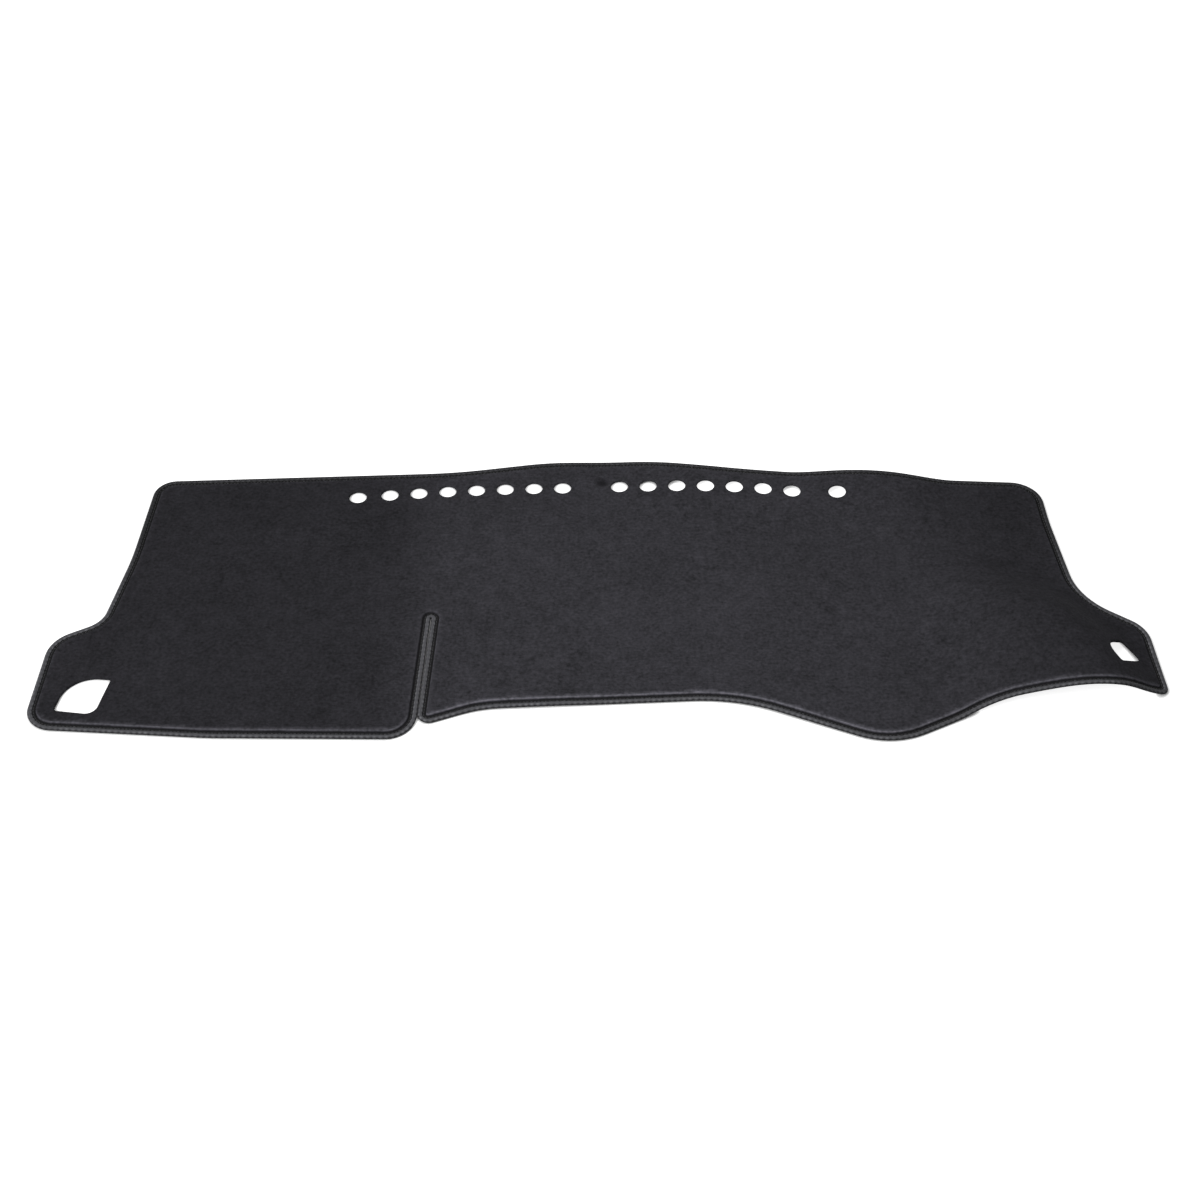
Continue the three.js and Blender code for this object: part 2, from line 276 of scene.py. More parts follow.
def distance(points, loop, chunk=4000):
    """Distance from each point to the nearest stretch of a closed loop."""
    a, b = loop, np.roll(loop, -1, 0)
    along = b - a
    square = np.maximum((along ** 2).sum(1), 1e-9)
    nearest = np.empty(len(points))
    for k in range(0, len(points), chunk):
        to = points[k:k + chunk, None] - a
        t = np.clip((to * along).sum(2) / square, 0, 1)[..., None]
        nearest[k:k + chunk] = np.sqrt(((to - t * along) ** 2).sum(2)).min(1)
    return nearest


# %% [markdown]
# ## Sections
#
# The seam pinches the felt flat, and beside the tape it puffs up in a steep lip. That section
# is written as [distance inwards, height] points, from the top of the lip, round the hidden
# edge and back along the underside. A second section rounds the rim of a hole.

# %% Felt sections
STRIP_WIDTH = 12.4
PUFF_HIGH, PUFF_FADE = 1.0, 16.0


def puff(d):
    """Extra height of the felt beside the tape. It fades from the lip with a cosine."""
    faded = np.clip((d - STRIP_WIDTH) / PUFF_FADE, 0, 1)
    return PUFF_HIGH * (0.5 + 0.5 * np.cos(np.pi * faded))


margin_top = np.array([[STRIP_WIDTH, FELT_THICK + PUFF_HIGH], [12.0, 5.2], [11.5, 5.0],
                       [11.0, 4.6], [10.6, 4.0], [10.35, 3.2], [10.25, 2.4]])
MARGIN = np.array([*margin_top, [10.15, 1.75], [9.6, 1.5], [7.4, 1.3], [5.6, 1.75],
                   [4.4, 2.7], [3.2, 3.2], [1.9, 2.9], [1.2, 2.3], [1.2, 1.9], [1.9, 1.2],
                   [3.5, 0.95], [5.6, 0.9], [7.4, 0.95], [9.6, 0.9], [10.3, 0.7],
                   [11.2, 0.25], [STRIP_WIDTH, 0.0]])
RIM = np.array([[3.2, FELT_THICK], [2.0, FELT_THICK - 0.04], [1.1, FELT_THICK - 0.2],
                [0.45, FELT_THICK - 0.55], [0.1, FELT_THICK - 1.1], [0.0, FELT_THICK - 1.8],
                [0.0, 1.2], [0.15, 0.5], [0.6, 0.1], [1.6, 0.0], [3.2, 0.0]])
print("margin rows:", len(MARGIN), " rim rows:", len(RIM))

# %% [markdown]
# ## One closed felt mesh
#
# The margin and the rims are sections carried along their loops. Between them the felt is a
# field of triangles. Constrained Delaunay triangulation joins a grid of points to the loops,
# finely on top, where the light shows every wave, and coarsely underneath.

# %% Carrying a section


def carried(places, normals, section):
    """Carry a section along a loop: point (i, j) is station i moved inwards by the section's
    distance j, at height base + section height * stretch."""
    flat = places[:, None] + normals[:, None] * section[None, :, :1]
    x, y = flat[..., 0], flat[..., 1]
    high = base_height(x, y) + section[None, :, 1] * stretch(x, y)
    return np.stack([x, y, high], 2)


def ring_faces(stations, rows, offset, flip=False):
    """Quads between neighbouring stations and rows of a carried section."""
    i, j = np.meshgrid(np.arange(stations), np.arange(rows - 1), indexing="ij")
    a = offset + i * rows + j
    b = offset + (i + 1) % stations * rows + j
    quads = np.stack([a, b, b + 1, a + 1], 2).reshape(-1, 4)
    return quads[:, ::-1] if flip else quads


# %% [markdown]
# Blender's triangulation fills the holes and the notches of the outline too, so each triangle
# is asked whether it lies on the felt.

# %% Triangles of the field
SLIVER = 0.0005


def on_felt(triangles, points, loops):
    """The triangles that lie on the felt. One that borders a loop is told by the way that it
    runs along it, with the outer line and against a hole, and any other by its middle. A
    sliver, far longer than high, lies along a straight stretch outside the felt."""
    after = np.full(len(points), -1)
    side = np.zeros(len(points), int)
    start = 0
    for k, loop in enumerate(loops):
        n = len(loop)
        after[start:start + n] = start + (np.arange(n) + 1) % n
        side[start:start + n] = 1 if k == 0 else -1
        start += n
    votes = np.zeros(len(triangles), int)
    for a, b in ((0, 1), (1, 2), (2, 0)):
        here, there = triangles[:, a], triangles[:, b]
        votes += side[here] * (after[here] == there)
        votes -= side[here] * (after[there] == here)
    centre = points[triangles].mean(1)
    middle_on = inside(centre, loops[0])
    for loop in loops[1:]:
        near = np.abs(centre - loop.mean(0)).max(1) < np.ptp(loop, 0).max()
        middle_on[near] &= ~inside(centre[near], loop)
    a, b, c = (points[triangles[:, k]] for k in range(3))
    twice_area = np.abs(np.cross(b - a, c - a))
    longest = np.maximum(((b - a) ** 2).sum(1), ((c - b) ** 2).sum(1))
    flat = twice_area < SLIVER * longest
    return triangles[np.where(votes == 0, middle_on & ~flat, votes > 0)]


def zigzag(loop, nudge=0.01):
    """Move every second point of a loop sideways by a hundredth of a millimetre, so that no
    three are in line. Only the triangulation sees this."""
    ahead = np.roll(loop, -1, 0) - np.roll(loop, 1, 0)
    sideways = np.stack([ahead[:, 1], -ahead[:, 0]], 1)
    sideways /= np.linalg.norm(sideways, axis=1, keepdims=True)
    return loop + sideways * nudge * (np.arange(len(loop)) % 2)[:, None]


def field(loops, spacing, clear):
    """Triangulate the felt between its loops, with a staggered grid of points that stay clear
    of every loop. Gives the added points, and triangles that count loop points first."""
    loops = [zigzag(loop) for loop in loops]
    outer = loops[0]
    low, high = outer.min(0), outer.max(0)
    rows = np.arange(low[1], high[1], spacing * 0.866)
    columns = np.arange(low[0], high[0], spacing)
    x, y = np.meshgrid(columns, rows)
    x = x + (np.arange(len(rows)) % 2)[:, None] * spacing / 2
    grid = np.stack([x.ravel(), y.ravel()], 1)
    grid = grid[inside(grid, outer)]
    for loop in loops[1:]:
        near = np.abs(grid - loop.mean(0)).max(1) < np.ptp(loop, 0).max()
        keep = np.ones(len(grid), bool)
        keep[near] = ~inside(grid[near], loop) & (distance(grid[near], loop) > clear)
        grid = grid[keep]
    grid = grid[distance(grid, outer) > clear]
    points = np.concatenate([*loops, grid])
    links, start = [], 0
    for loop in loops:
        n = len(loop)
        links += [(start + k, start + (k + 1) % n) for k in range(n)]
        start += n
    found = delaunay_2d_cdt([tuple(p) for p in points], links, [], 0, 1e-6, True)
    verts, triangles, origin = np.array(found[0]), np.array(found[2]), found[3]
    if len(verts) != len(points):
        raise ValueError(f"the field has {len(verts)} points for {len(points)}")
    source = np.array([ids[0] for ids in origin])
    return grid, on_felt(source[triangles], points, loops)


# %% [markdown]
# Between the two rows of holes the felt is pinched at one small spot, and puffs up beside it.

# %% Pinch in the felt: x, y, radius, height
TACK = (2.9, 212.0, 11.0, -2.6)
TACK_PUFF = (-19.7, 212.0, 17.0, 1.8)


def tacked(x, y):
    """Height that the top gains at the pinch: a small dent with a puff beside it, each a
    round heap of height * (1 - r^2)^2."""
    total = np.zeros_like(x)
    for x0, y0, radius, high in (TACK, TACK_PUFF):
        square = ((x - x0) ** 2 + (y - y0) ** 2) / radius ** 2
        total += high * np.maximum(0, 1 - square) ** 2
    return total


# %% The whole felt
CLEAR_OF_LOOPS = 0.45


def felt_arrays(spacing_top, spacing_under):
    """Points and faces of the whole felt sheet, in mm."""
    rings = [carried(edge, edge_in, MARGIN)]
    rings += [carried(places, out, RIM) for places, out in holes]
    points, faces, starts = [], [], []
    total = 0
    for k, ring in enumerate(rings):
        starts.append(total)
        points.append(ring.reshape(-1, 3))
        faces.append(ring_faces(ring.shape[0], ring.shape[1], total, flip=(k == 0)))
        total += ring.shape[0] * ring.shape[1]
    for under in (False, True):
        column = -1 if under else 0
        loops = [ring[:, column, :2] for ring in rings]
        ids = [start + np.arange(len(ring)) * ring.shape[1] + (ring.shape[1] - 1) * under
               for start, ring in zip(starts, rings)]
        spacing = spacing_under if under else spacing_top
        grid, triangles = field(loops, spacing, clear=spacing * CLEAR_OF_LOOPS)
        x, y = grid.T
        high = base_height(x, y)
        if not under:
            d = distance(grid, edge)
            high = high + (FELT_THICK + puff(d) + tacked(x, y)) * stretch(x, y)
        points.append(np.stack([x, y, high], 1))
        lookup = np.concatenate([*ids, total + np.arange(len(grid))])
        total += len(grid)
        triangles = lookup[triangles]
        faces.append(triangles[:, ::-1] if under else triangles)
    return np.concatenate(points), faces


felt_points, felt_faces = felt_arrays(4.5, 12.0)
print("felt points:", len(felt_points), " faces:", sum(len(f) for f in felt_faces))

# %% [markdown]
# ## Putting arrays into a mesh
#
# Blender takes flat lists of corners, faces and loops. `foreach_set` copies a numpy array
# straight into them, which is far quicker than adding faces one by one.


# %% Mesh helper
def make_piece(name, points_mm, face_groups, smooth=True, uv=None):
    """Make an object at the origin from points in plan millimetres and groups of faces with
    the same number of corners. The points are moved to the mat's middle and turned to metres.
    uv, if given, holds one pair per point."""
    points = points_mm.reshape(-1, 3).copy()
    points[:, :2] -= middle
    loops = np.concatenate([group.ravel() for group in face_groups]).astype(np.int32)
    sizes = np.concatenate([np.full(len(g), g.shape[1]) for g in face_groups]).astype(np.int32)
    mesh = bpy.data.meshes.new(name)
    mesh.vertices.add(len(points))
    mesh.vertices.foreach_set("co", (points * MM).astype(np.float32).ravel())
    mesh.loops.add(len(loops))
    mesh.loops.foreach_set("vertex_index", loops)
    mesh.polygons.add(len(sizes))
    mesh.polygons.foreach_set("loop_start", (np.cumsum(sizes) - sizes).astype(np.int32))
    mesh.polygons.foreach_set("use_smooth", np.full(len(sizes), smooth))
    mesh.update(calc_edges=True)
    mesh.validate()
    if uv is not None:
        layer = mesh.uv_layers.new(name="along_and_across")
        layer.uv.foreach_set("vector", uv[loops].astype(np.float32).ravel())
    piece = bpy.data.objects.new(name, mesh)
    bpy.context.scene.collection.objects.link(piece)
    print(name, "points:", len(points), "triangles:", int((sizes - 2).sum()))
    return piece


felt = make_piece("felt_mat", felt_points, felt_faces)
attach(felt, "root")
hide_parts("felt_sheet")

# %% [markdown]
# ## Painted highlight on the lip, painted shade at the pinch
#
# The lip along the front edges faces the light, so it is painted paler there as a painted
# highlight, and a little paler along the rest of the edge. The dent of the pinch is painted
# darker as a painted shade. One number per point says how much: above zero is paler, below
# zero is darker. The felt material reads it.

# %% Painted highlight on the lip and painted shade at the pinch
FRONT_EDGE_BEHIND = -150.0
LIP_HIGHLIGHT_ROWS = np.array([0.45, 0.8, 1.0, 0.9, 0.6])
LIP_HIGHLIGHT_ALONG_EDGE, LIP_HIGHLIGHT_IN_FRONT = 0.2, 0.8
TACK_PAINTED_SHADE, TOP_SKIN_ABOVE = 0.24, 1.0
# The lip is painted paler as a painted highlight, most where it faces the front.
in_front = np.clip(edge_in[:, 1], 0, 1) * (edge[:, 1] < FRONT_EDGE_BEHIND)
facing = LIP_HIGHLIGHT_ALONG_EDGE + LIP_HIGHLIGHT_IN_FRONT * in_front
margin_lip_highlight = np.zeros((len(edge), len(MARGIN)))
margin_lip_highlight[:, :len(LIP_HIGHLIGHT_ROWS)] = facing[:, None] * LIP_HIGHLIGHT_ROWS
lip = np.zeros(len(felt_points))
lip[:margin_lip_highlight.size] = margin_lip_highlight.ravel()
# The dent of the pinch is painted darker as a painted shade.
from_tack = np.hypot(felt_points[:, 0] - TACK[0], felt_points[:, 1] - TACK[1]) / TACK[2]
lip -= TACK_PAINTED_SHADE * np.maximum(0, 1 - from_tack ** 2) * (felt_points[:, 2] > TOP_SKIN_ABOVE)
painted_light_attribute = felt.data.attributes.new("lip", "FLOAT", "POINT")
painted_light_attribute.data.foreach_set("value", lip.astype(np.float32))
print("painted light and shade on the felt, least and most:", lip.min().round(2), lip.max().round(2))

# %% [markdown]
# ## The folded tape
#
# The tape is one closed section carried along the same edge as the felt. Its outer half is a
# round roll. Further in, the seam pulls it down into a groove, and its inner edge sinks beside
# the puffed felt. Its UV map runs along the tape in x and across it in y, so that the weave
# follows every bend.

# %% Tape section and mesh
TAPE = np.array([
    [10.0, 2.3], [9.7, 2.6], [9.2, 2.55], [8.4, 2.3], [SEAM_IN, 2.15], [6.6, 2.3],
    [6.0, 2.75], [5.5, 3.4], [4.9, 4.0], [4.1, 4.4], [3.1, 4.55], [2.1, 4.4],
    [1.2, 3.95], [0.5, 3.3], [0.1, 2.6], [0.0, 2.0], [0.25, 1.3], [0.85, 0.6],
    [1.7, 0.15], [2.8, 0.0], [4.0, 0.0], [5.2, 0.0], [6.4, 0.1], [SEAM_IN, 0.2],
    [8.4, 0.1], [9.2, 0.0], [9.7, 0.05], [10.0, 0.35], [9.8, 0.6], [SEAM_IN, 0.75],
    [5.2, 0.7], [2.8, 0.72], [1.5, 1.0], [0.72, 2.1], [1.5, 3.2], [2.4, 3.7],
    [3.4, 3.82], [4.4, 3.5], [5.2, 2.75], [6.0, 1.95], [SEAM_IN, 1.5], [9.8, 1.75],
])


def along(path):
    """Running length of a closed path at each of its points, and its whole length."""
    steps = np.linalg.norm(np.roll(path, -1, 0) - path, axis=1)
    return np.cumsum(steps) - steps, steps.sum()


def closed_tube(ring, offset=0):
    """Quads of a closed section carried round a closed path, facing out."""
    n, m = ring.shape[:2]
    i, j = np.meshgrid(np.arange(n), np.arange(m), indexing="ij")
    a, b = i * m, (i + 1) % n * m
    k = (j + 1) % m
    return offset + np.stack([a + j, a + k, b + k, b + j], 2).reshape(-1, 4)


tape_ring = carried(edge, edge_in, TAPE)
run, edge_length = along(tape_ring[:, len(TAPE) // 3])
section_run, _ = along(TAPE)
tape_uv = np.stack(np.broadcast_arrays(run[:, None], section_run[None, :]), 2).reshape(-1, 2)
tape = make_piece("edge_tape", tape_ring, [closed_tube(tape_ring)], uv=tape_uv * MM)
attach(tape, "root")
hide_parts("edge_binding")
print("edge length, m:", round(edge_length * MM, 3))

# %% [markdown]
# ## Lockstitch
#
# A lockstitch shows as a row of short lengths of thread, each bedded in the tape at both ends,
# on the top and on the underside. Every stitch is a spindle of a few faces: its radius follows
# the fourth root of 1 - t^4 and its middle line sinks with t squared, t running from -1 to 1.

# %% Stitches
STITCH_PITCH, STITCH_LONG, STITCH_SINK, THREAD_RADIUS = 4.6, 3.7, 0.45, 0.42
THREAD_SIDES = 6


def seam(height, up):
    """Stitches along the edge at the seam's distance inwards, height over the floor side of
    the tape. up is 1 on top and -1 underneath. Gives points and faces."""
    line = carried(edge, edge_in, np.array([[SEAM_IN, height]]))[:, 0]
    place, total = along(line)
    count = int(total // STITCH_PITCH)
    t_ring = np.array([-0.8, -0.3, 0.3, 0.8])
    t = np.array([-1.0, *t_ring, 1.0])
    centres = (np.arange(count) + 0.5) * total / count
    at = (centres[:, None] + t * STITCH_LONG / 2) % total
    closed_place, closed_line = np.append(place, total), np.concatenate([line, line[:1]])
    core = np.stack([np.interp(at, closed_place, closed_line[:, k]) for k in range(3)], 2)
    ahead = core[:, -1] - core[:, 0]
    ahead = (ahead / np.linalg.norm(ahead, axis=1, keepdims=True))[:, None]
    side = np.cross(ahead, [0.0, 0.0, 1.0])
    side = side / np.linalg.norm(side, axis=2, keepdims=True)
    over = np.cross(side, ahead)
    core = core - up * over * STITCH_SINK * (t * t)[None, :, None]
    angles = 2 * np.pi * np.arange(THREAD_SIDES) / THREAD_SIDES
    radius = THREAD_RADIUS * (1 - t_ring ** 4) ** 0.25
    spread = side[:, :, None] * np.cos(angles)[:, None] + over[:, :, None] * np.sin(angles)[:, None]
    rings = core[:, 1:-1, None] + spread * radius[None, :, None, None]
    points = np.concatenate([rings.reshape(count, -1, 3), core[:, :1], core[:, -1:]], 1)
    rows, sides = len(t_ring), len(angles)
    i, j = np.meshgrid(np.arange(rows - 1), np.arange(sides), indexing="ij")
    k = (j + 1) % sides
    quads = np.stack([i * sides + j, (i + 1) * sides + j, (i + 1) * sides + k, i * sides + k], 2)
    ring = np.arange(sides)
    after = (ring + 1) % sides
    first, last = rows * sides, rows * sides + 1
    end = (rows - 1) * sides
    caps = np.concatenate([np.stack([np.full(sides, first), ring, after], 1),
                           np.stack([np.full(sides, last), end + after, end + ring], 1)])
    shift = np.arange(count)[:, None, None] * points.shape[1]
    return points, [(quads.reshape(-1, 4) + shift).reshape(-1, 4), (caps + shift).reshape(-1, 3)]


SEAM_TOP, SEAM_UNDER = 2.4, 0.3
top_thread = make_piece("seam_thread_top", *seam(SEAM_TOP, 1))
under_thread = make_piece("seam_thread_under", *seam(SEAM_UNDER, -1))
for thread in (top_thread, under_thread):
    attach(thread, "root")

# %% [markdown]
# ## Face areas and the lift along one row
#
# The area of every face of the felt mesh is read, and the lift is sampled at 1500 places
# along the row at -150 mm, the longest run over the fold.

felt_mesh = felt.data
face_area = np.zeros(len(felt_mesh.polygons))
felt_mesh.polygons.foreach_get("area", face_area)
LONGEST_ROW_Y = -150.0
sample = np.linspace(edge[:, 0].min(), edge[:, 0].max(), 1500)
rise = base_height(sample, np.full_like(sample, LONGEST_ROW_Y))

# %% [markdown]
# ## Colours and nodes
#
# Colours are written as sRGB hex values, as a painter's swatch gives them, and turned to
# linear ones for the shader. One helper adds a node, its settings and its links.


# %% Material helpers
def linear(hex_colour):
    """sRGB to linear light: c / 12.92 below 0.04045, else ((c + 0.055) / 1.055) ^ 2.4."""
    c = np.array([hex_colour >> shift & 255 for shift in (16, 8, 0)]) / 255
    low, high = c / 12.92, ((c + 0.055) / 1.055) ** 2.4
    return (*map(float, np.where(c <= 0.04045, low, high)), 1.0)


def add(tree, kind, inputs=None, **settings):
    """Add a node. inputs maps an input's name or number to a value, or to a socket to link."""
    node = tree.nodes.new(kind)
    for name, value in settings.items():
        setattr(node, name, value)
    for name, value in (inputs or {}).items():
        if isinstance(value, bpy.types.NodeSocket):
            tree.links.new(value, node.inputs[name])
        else:
            node.inputs[name].default_value = value
    return node


def new_material(name):
    """An empty node material and its tree."""
    material = bpy.data.materials.new(name)
    material.use_nodes = True
    material.node_tree.nodes.clear()
    return material, material.node_tree


def per_metre(size_mm):
    """Texture scale for a pattern whose features are size_mm across."""
    return 1000.0 / size_mm


# %% [markdown]
# ## Needle-punched felt
#
# Barbed needles punch a web of polyester fibres until it holds together. The eye sees short
# tangled fibres, slightly darker and lighter tufts a centimetre or two across where the web
# was uneven, and no shine, only a faint bloom from loose fibre ends. The fibres are 0.03 mm
# thick, far too fine to show from here, so they are drawn as strands 2.2 mm wide that cross
# at two angles, over a grain of 4.5 mm. Left of the slit and towards the right end the colour
# is painted darker, a painted shade where less light falls.

# %% Felt material
TUFT_SHARE, GRAIN_SHARE, CLOUD_SHARE = 0.45, 0.5, 0.12
LEFT_PAINTED_SHADE, RIGHT_PAINTED_SHADE, LIP_HIGHLIGHT_GAIN = 0.66, 0.74, 2.8
felt_material, tree = new_material("needle-punched polyester felt, charcoal")
place = add(tree, "ShaderNodeTexCoord").outputs["Object"]
strands = []
for turn, seed in ((62, 0.0), (-38, 7.3)):
    turned = add(tree, "ShaderNodeMapping", {
        "Vector": place, "Location": (seed, seed, 0), "Rotation": (0, 0, math.radians(turn)),
        "Scale": (per_metre(9), per_metre(2.24), per_metre(4))})
    strands.append(add(tree, "ShaderNodeTexNoise", {
        "Vector": turned.outputs[0], "Scale": 1.0, "Detail": 2.0, "Roughness": 0.6}))
tufts = add(tree, "ShaderNodeTexNoise", {
    "Vector": place, "Scale": per_metre(16), "Detail": 3.0, "Roughness": 0.55})
clouds = add(tree, "ShaderNodeTexNoise", {
    "Vector": place, "Scale": per_metre(120), "Detail": 2.0, "Roughness": 0.5})
grain = add(tree, "ShaderNodeTexNoise", {
    "Vector": place, "Scale": per_metre(4.5), "Detail": 2.5, "Roughness": 0.65})
crossed = add(tree, "ShaderNodeMath", {0: strands[0].outputs[0], 1: strands[1].outputs[0]},
              operation="ADD")
mixed = add(tree, "ShaderNodeMath", {0: crossed.outputs[0], 1: 0.5, 2: 0.0},
            operation="MULTIPLY_ADD")
with_tufts = add(tree, "ShaderNodeMix", {
    0: TUFT_SHARE, 2: mixed.outputs[0], 3: tufts.outputs[0]}, data_type="FLOAT")
with_grain = add(tree, "ShaderNodeMix", {
    0: GRAIN_SHARE, 2: with_tufts.outputs[0], 3: grain.outputs[0]}, data_type="FLOAT")
with_clouds = add(tree, "ShaderNodeMix", {
    0: CLOUD_SHARE, 2: with_grain.outputs[0], 3: clouds.outputs[0]}, data_type="FLOAT")
shade = add(tree, "ShaderNodeValToRGB", {0: with_clouds.outputs[0]})
shade.color_ramp.elements[0].position = 0.36
shade.color_ramp.elements[0].color = linear(0x1F1F21)
shade.color_ramp.elements[1].position = 0.64
shade.color_ramp.elements[1].color = linear(0x3D3C41)
across_mat = add(tree, "ShaderNodeSeparateXYZ", {0: place})
# Painted shade: the colour is darker left of the slit and towards the right end, where less light
# falls.
left_of_slit_shade = add(tree, "ShaderNodeMapRange", {
    "Value": across_mat.outputs["X"], "From Min": -300 * MM, "From Max": -195 * MM,
    "To Min": LEFT_PAINTED_SHADE, "To Max": 1.0}, interpolation_type="SMOOTHSTEP")
right_end_shade = add(tree, "ShaderNodeMapRange", {
    "Value": across_mat.outputs["X"], "From Min": 400 * MM, "From Max": 560 * MM,
    "To Min": 1.0, "To Max": RIGHT_PAINTED_SHADE}, interpolation_type="SMOOTHSTEP")
ends_shade = add(tree, "ShaderNodeMath", {0: left_of_slit_shade.outputs[0], 1: right_end_shade.outputs[0]},
                operation="MULTIPLY")
# Painted highlight on the lip and painted shade at the pinch, read from the lip attribute.
lip_place = add(tree, "ShaderNodeAttribute", attribute_name="lip")
paler = add(tree, "ShaderNodeMath", {0: lip_place.outputs["Fac"], 1: LIP_HIGHLIGHT_GAIN, 2: 1.0},
            operation="MULTIPLY_ADD")
level = add(tree, "ShaderNodeMath", {0: ends_shade.outputs[0], 1: paler.outputs[0]},
            operation="MULTIPLY")
painted_felt_colour = add(tree, "ShaderNodeVectorMath", {0: shade.outputs[0], "Scale": level.outputs[0]},
             operation="SCALE")
fuzz = add(tree, "ShaderNodeBump", {
    "Height": with_grain.outputs[0], "Distance": 1.1 * MM, "Strength": 0.55})
felt_shader = add(tree, "ShaderNodeBsdfPrincipled", {
    "Base Color": painted_felt_colour.outputs[0], "Roughness": 0.95, "Specular IOR Level": 0.06,
    "Sheen Weight": 0.02, "Sheen Roughness": 0.5, "Sheen Tint": linear(0xB8B8C0),
    "Normal": fuzz.outputs[0]})
add(tree, "ShaderNodeOutputMaterial", {"Surface": felt_shader.outputs[0]})
felt.data.materials.append(felt_material)
print("felt nodes:", len(tree.nodes))

# %% [markdown]
# ## Woven tape and thread
#
# The tape is a plain weave of black polyester filament. Its ribs run across it, so they turn
# with every corner: the UV map makes that easy. The crest of the roll is painted grey, a painted
# highlight where the round fold catches the light, most along the front and the slit; towards
# the back the tape is painted darker, a painted shade. The bed of the seam and the outer turn
# are painted black, a painted shade in the groove and at the fold. The thread is twisted, so
# slanted bands wind along it.

# %% Tape material
# The grey of the crest is a painted highlight; the bed, the outer turn and the back are painted
# shade.
BED_ENDS, CREST_STARTS = 4.3, 5.4
CREST_ENDS, TURN_STARTS = 8.6, 11.2
BED_PAINTED_SHADE, TURN_PAINTED_SHADE, BACK_PAINTED_SHADE = 0.06, 0.22, 0.35
tape_material, tree = new_material("woven polyester tape, black")
tape_place = add(tree, "ShaderNodeUVMap", uv_map="along_and_across").outputs[0]
ribs = add(tree, "ShaderNodeTexWave", {
    "Vector": tape_place, "Scale": per_metre(1.2) / 20, "Distortion": 1.5, "Detail": 1.0},
    wave_type="BANDS", bands_direction="X")
rows = add(tree, "ShaderNodeTexWave", {
    "Vector": tape_place, "Scale": per_metre(1.2) / 20, "Distortion": 1.5, "Detail": 1.0},
    wave_type="BANDS", bands_direction="Y")
weave = add(tree, "ShaderNodeMath", {0: ribs.outputs[1], 1: rows.outputs[1]},
            operation="MULTIPLY")
tape_shade = add(tree, "ShaderNodeValToRGB", {0: weave.outputs[0]})
# These greys are the painted highlight of the crest; the tape itself is black.
tape_shade.color_ramp.elements[0].color = linear(0x47474A)
tape_shade.color_ramp.elements[1].color = linear(0x78787C)
over_tape = add(tree, "ShaderNodeSeparateXYZ", {0: tape_place})
bed = add(tree, "ShaderNodeMapRange", {
    "Value": over_tape.outputs["Y"], "From Min": BED_ENDS * MM, "From Max": CREST_STARTS * MM,
    "To Min": BED_PAINTED_SHADE, "To Max": 1.0}, interpolation_type="SMOOTHSTEP")
fold = add(tree, "ShaderNodeMapRange", {
    "Value": over_tape.outputs["Y"], "From Min": CREST_ENDS * MM, "From Max": TURN_STARTS * MM,
    "To Min": 1.0, "To Max": TURN_PAINTED_SHADE}, interpolation_type="SMOOTHSTEP")
on_mat = add(tree, "ShaderNodeSeparateXYZ", {
    0: add(tree, "ShaderNodeTexCoord").outputs["Object"]})
# Painted shade: the tape is darker towards the back.
towards_back_shade = add(tree, "ShaderNodeMapRange", {
    "Value": on_mat.outputs["Y"], "From Min": -60 * MM, "From Max": 120 * MM,
    "To Min": 1.0, "To Max": BACK_PAINTED_SHADE}, interpolation_type="SMOOTHSTEP")
rounded = add(tree, "ShaderNodeMath", {0: bed.outputs[0], 1: fold.outputs[0]},
              operation="MULTIPLY")
painted_tape_light = add(tree, "ShaderNodeMath", {0: rounded.outputs[0], 1: towards_back_shade.outputs[0]},
           operation="MULTIPLY")
painted_tape_colour = add(tree, "ShaderNodeVectorMath", {0: tape_shade.outputs[0],
                                            "Scale": painted_tape_light.outputs[0]}, operation="SCALE")
tape_bump = add(tree, "ShaderNodeBump", {
    "Height": weave.outputs[0], "Distance": 0.25 * MM, "Strength": 0.7})
tape_shader = add(tree, "ShaderNodeBsdfPrincipled", {
    "Base Color": painted_tape_colour.outputs[0], "Roughness": 0.75, "Specular IOR Level": 0.12,
    "Normal": tape_bump.outputs[0]})
add(tree, "ShaderNodeOutputMaterial", {"Surface": tape_shader.outputs[0]})
tape.data.materials.append(tape_material)

# %% Thread material
thread_material, tree = new_material("twisted polyester thread, grey")
thread_place = add(tree, "ShaderNodeTexCoord").outputs["Object"]
twist = add(tree, "ShaderNodeTexWave", {
    "Vector": thread_place, "Scale": per_metre(0.8) / 20}, wave_type="BANDS",
    bands_direction="DIAGONAL")
thread_shade = add(tree, "ShaderNodeValToRGB", {0: twist.outputs[1]})
thread_shade.color_ramp.elements[0].color = linear(0x18181A)
thread_shade.color_ramp.elements[1].color = linear(0x2C2C2F)
thread_shader = add(tree, "ShaderNodeBsdfPrincipled", {
    "Base Color": thread_shade.outputs[0], "Roughness": 0.5, "Specular IOR Level": 0.45})
add(tree, "ShaderNodeOutputMaterial", {"Surface": thread_shader.outputs[0]})
for thread in (top_thread, under_thread):
    thread.data.materials.append(thread_material)

# %% [markdown]
# ## Floor, background and light
#
# The background is plain white. The floor's own colour is pale and it takes the mat's
# shadow. For camera rays alone it also glows, so that it reaches white without any extra
# light on the mat, and the world does the same above the horizon. Where the mat shelters the
# floor the glow is dimmed, a painted shadow, so that the slit stays dark. A soft key lamp
# stands at the left front and models the fold, and a small softbox overhead lights the middle
# more than the ends.

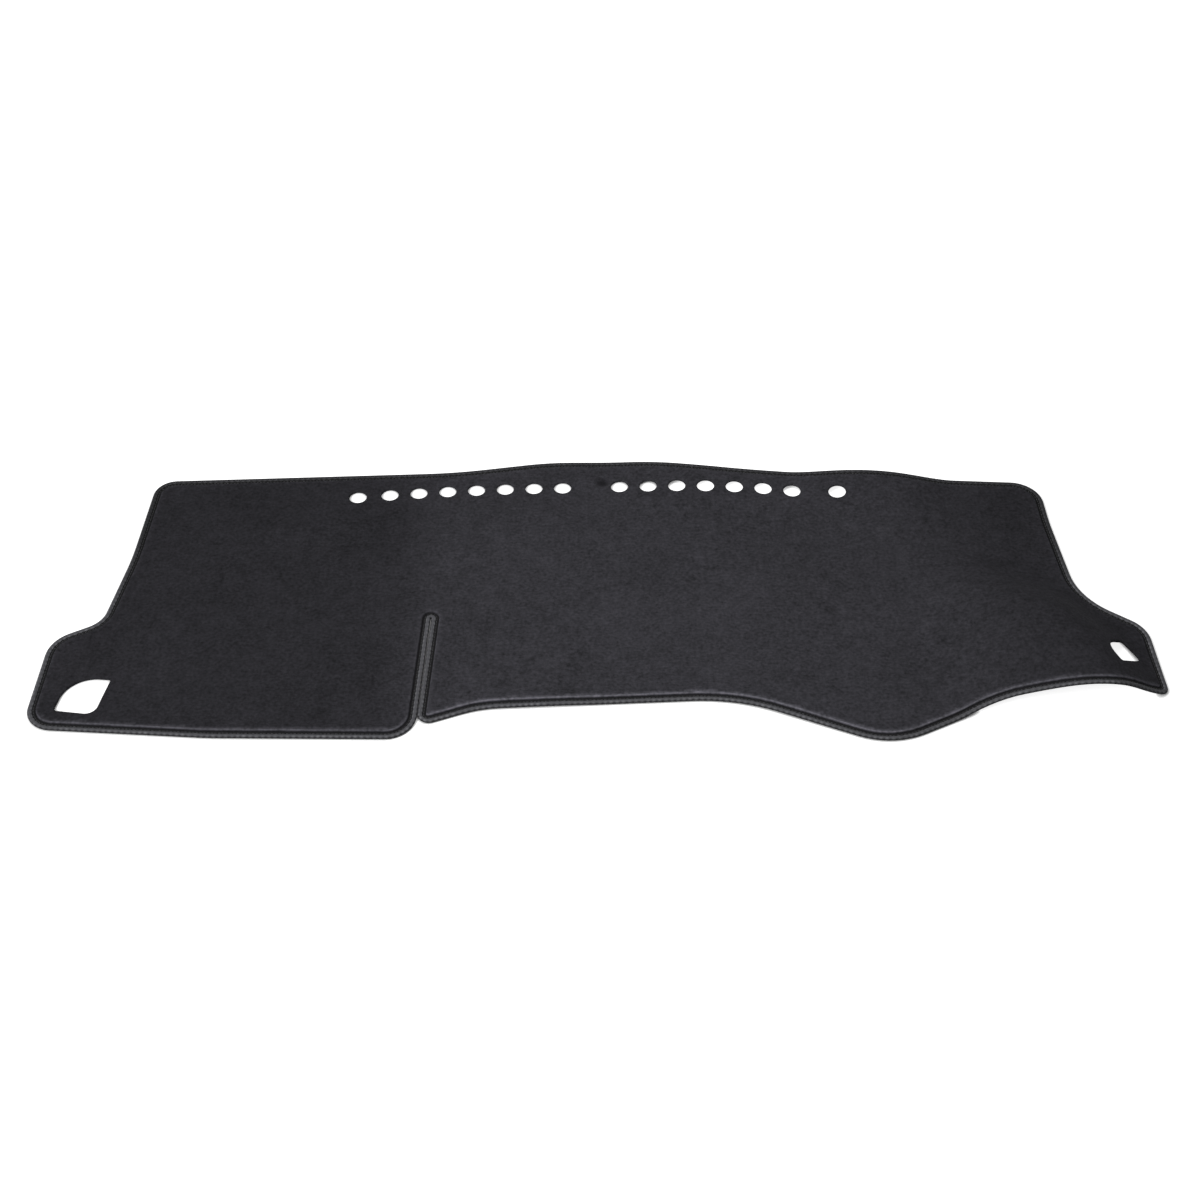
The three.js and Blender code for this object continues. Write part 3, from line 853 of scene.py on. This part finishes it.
# %% Floor
FLOOR_HALF = 14.0
SHELTER_MM, SHELTER_POWER, GLOW = 6, 3.0, 0.84
floor_mesh = bpy.data.meshes.new("floor")
floor_mesh.from_pydata([(-FLOOR_HALF, -FLOOR_HALF, 0), (FLOOR_HALF, -FLOOR_HALF, 0),
                        (FLOOR_HALF, FLOOR_HALF, 0), (-FLOOR_HALF, FLOOR_HALF, 0)],
                       [], [(0, 1, 2, 3)])
floor = bpy.data.objects.new("floor", floor_mesh)
floor.location.z = -0.3 * MM
bpy.context.scene.collection.objects.link(floor)
floor_material, tree = new_material("matt white board")
seen = add(tree, "ShaderNodeLightPath")
board = add(tree, "ShaderNodeBsdfDiffuse", {"Color": linear(0xE6E6E6)})
# Painted shadow: the glow is dimmed by ambient occlusion near the mat.
shelter = add(tree, "ShaderNodeAmbientOcclusion", {"Distance": SHELTER_MM * MM}, samples=8)
deep = add(tree, "ShaderNodeMath", {0: shelter.outputs["AO"], 1: SHELTER_POWER},
           operation="POWER")
open_sky = add(tree, "ShaderNodeMath", {0: deep.outputs[0], 1: GLOW}, operation="MULTIPLY")
glow_level = add(tree, "ShaderNodeMath", {0: seen.outputs["Is Camera Ray"],
                                          1: open_sky.outputs[0]}, operation="MULTIPLY")
glow = add(tree, "ShaderNodeEmission", {"Strength": glow_level.outputs[0]})
both = add(tree, "ShaderNodeAddShader", {0: board.outputs[0], 1: glow.outputs[0]})
add(tree, "ShaderNodeOutputMaterial", {"Surface": both.outputs[0]})
floor_mesh.materials.append(floor_material)

# %% World and lamps
WORLD_LEVEL = 0.2
scene = bpy.context.scene
world = bpy.data.worlds.new("studio")
scene.world = world
world.use_nodes = True
tree = world.node_tree
tree.nodes.clear()
seen = add(tree, "ShaderNodeLightPath")
direct = add(tree, "ShaderNodeMath", {0: seen.outputs["Is Camera Ray"],
                                      1: seen.outputs["Is Glossy Ray"]}, operation="MAXIMUM")
level = add(tree, "ShaderNodeMix", {0: direct.outputs[0], 2: WORLD_LEVEL, 3: 1.0},
            data_type="FLOAT")
sky = add(tree, "ShaderNodeBackground", {"Color": (1, 1, 1, 1), "Strength": level.outputs[0]})
add(tree, "ShaderNodeOutputWorld", {"Surface": sky.outputs[0]})


def area_lamp(name, at, aim, size, power):
    """A square soft lamp at a place in metres, turned to a target."""
    data = bpy.data.lights.new(name, "AREA")
    data.size = size
    data.energy = power
    lamp = bpy.data.objects.new(name, data)
    lamp.location = at
    away = np.array(at, float) - np.array(aim, float)
    flat = math.hypot(away[0], away[1])
    lamp.rotation_euler = (math.atan2(flat, away[2]), 0, math.atan2(away[0], -away[1]))
    scene.collection.objects.link(lamp)
    return lamp


area_lamp("key_softbox", (-1.9, -1.7, 2.0), (0.1, 0.0, 0.0), 1.2, 80.0)
area_lamp("overhead_softbox", (0.1, -0.1, 0.95), (0.1, -0.05, 0.0), 0.5, 4.4)

# %% [markdown]
# ## Camera
#
# The mat is seen from 45 degrees above, with a slightly long lens from 2.36 m away, which
# keeps the far edge nearly as long as the near one.

# %% Camera
CAMERA_AWAY = 2.364
CAMERA_TARGET = ((-0.65 - middle[0]) * MM, (-16.8 - middle[1]) * MM)
slant = CAMERA_AWAY * math.sqrt(0.5)
camera_data = bpy.data.cameras.new("camera")
camera_data.lens = 54
camera_data.sensor_width = 36
camera = bpy.data.objects.new("camera", camera_data)
camera.location = (CAMERA_TARGET[0], CAMERA_TARGET[1] - slant, slant)
camera.rotation_euler = (math.radians(45), 0, 0)
scene.collection.objects.link(camera)
scene.camera = camera
scene.view_settings.view_transform = "Standard"
